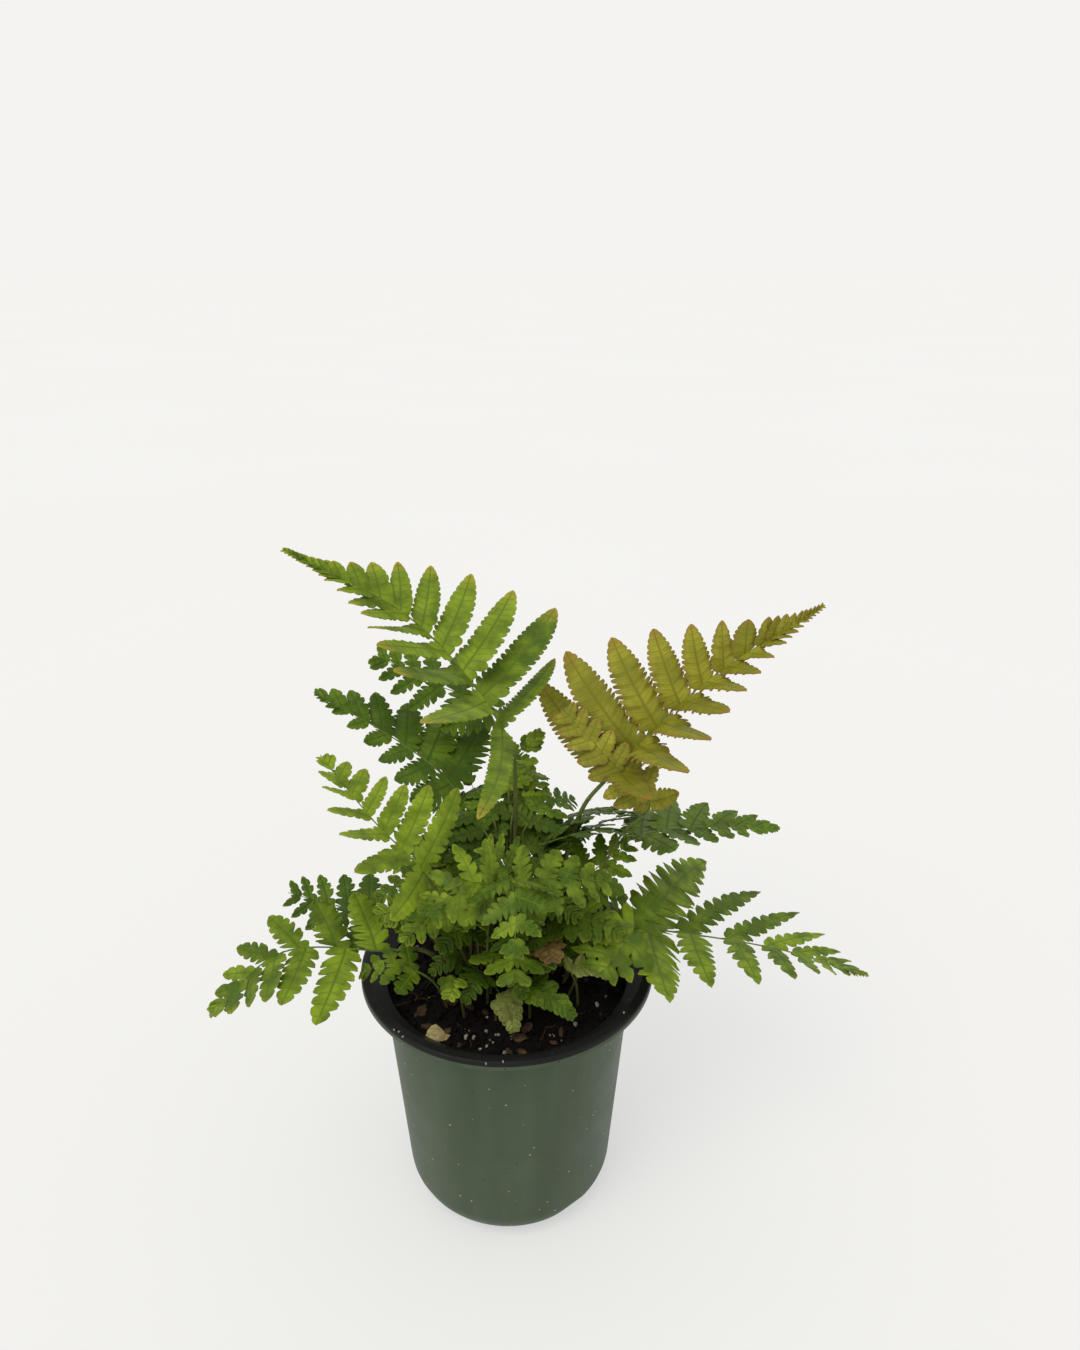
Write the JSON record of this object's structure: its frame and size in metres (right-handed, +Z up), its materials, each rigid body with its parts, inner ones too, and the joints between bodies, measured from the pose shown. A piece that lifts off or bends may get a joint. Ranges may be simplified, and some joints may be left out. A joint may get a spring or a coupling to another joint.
{
  "type": "potted fern",
  "caption": "Young fern with tall arching fronds and a low crown of cut leaves, growing in soil in a tapered nursery pot with a rolled lip and drain channels.",
  "frame": {"origin": "centre of the pot's underside, on the surface that it stands on", "axes": "+Z up along the pot's axis, -Y towards the viewer of the picture, +X to that viewer's right"},
  "size_m": [0.2452, 0.1324, 0.2686],
  "materials": {
    "pot_plastic": "satin, moulded polypropylene",
    "potting_soil": null,
    "leaf_bright": null,
    "leaf_bronze": null,
    "leaf_lime": null,
    "leaf_deep": null,
    "leaf_pale": null,
    "leaf_brown": null
  },
  "bodies": {
    "root": {"pot": "pot_plastic", "soil": "potting_soil", "frond_tall_left": "leaf_bright", "frond_tall_right": "leaf_bronze", "frond_left_lime": "leaf_lime", "frond_low_left": "leaf_bright", "frond_low_right": "leaf_bright", "frond_right_back": "leaf_deep", "frond_left_dark": "leaf_deep", "frond_behind_left": "leaf_deep", "frond_front_lime": "leaf_lime", "frond_front_right": "leaf_lime", "frond_front_left": "leaf_lime", "frond_centre_lime": "leaf_lime", "frond_right_front": "leaf_bright", "frond_crown_left": "leaf_bright", "frond_middle_dark": "leaf_deep", "frond_middle_left": "leaf_deep", "frond_back_right": "leaf_deep", "frond_left_back": "leaf_deep", "frond_right_mid": "leaf_bright", "frond_back_small": "leaf_lime", "frond_young_front": "leaf_bright", "frond_young_left": "leaf_lime", "frond_inner_left": "leaf_lime", "leaf_small_left": "leaf_lime", "leaf_old_front": "leaf_pale", "leaf_dark_front": "leaf_deep", "leaf_brown": "leaf_brown", "leaf_pale_right": "leaf_pale"}
  },
  "joints": []
}
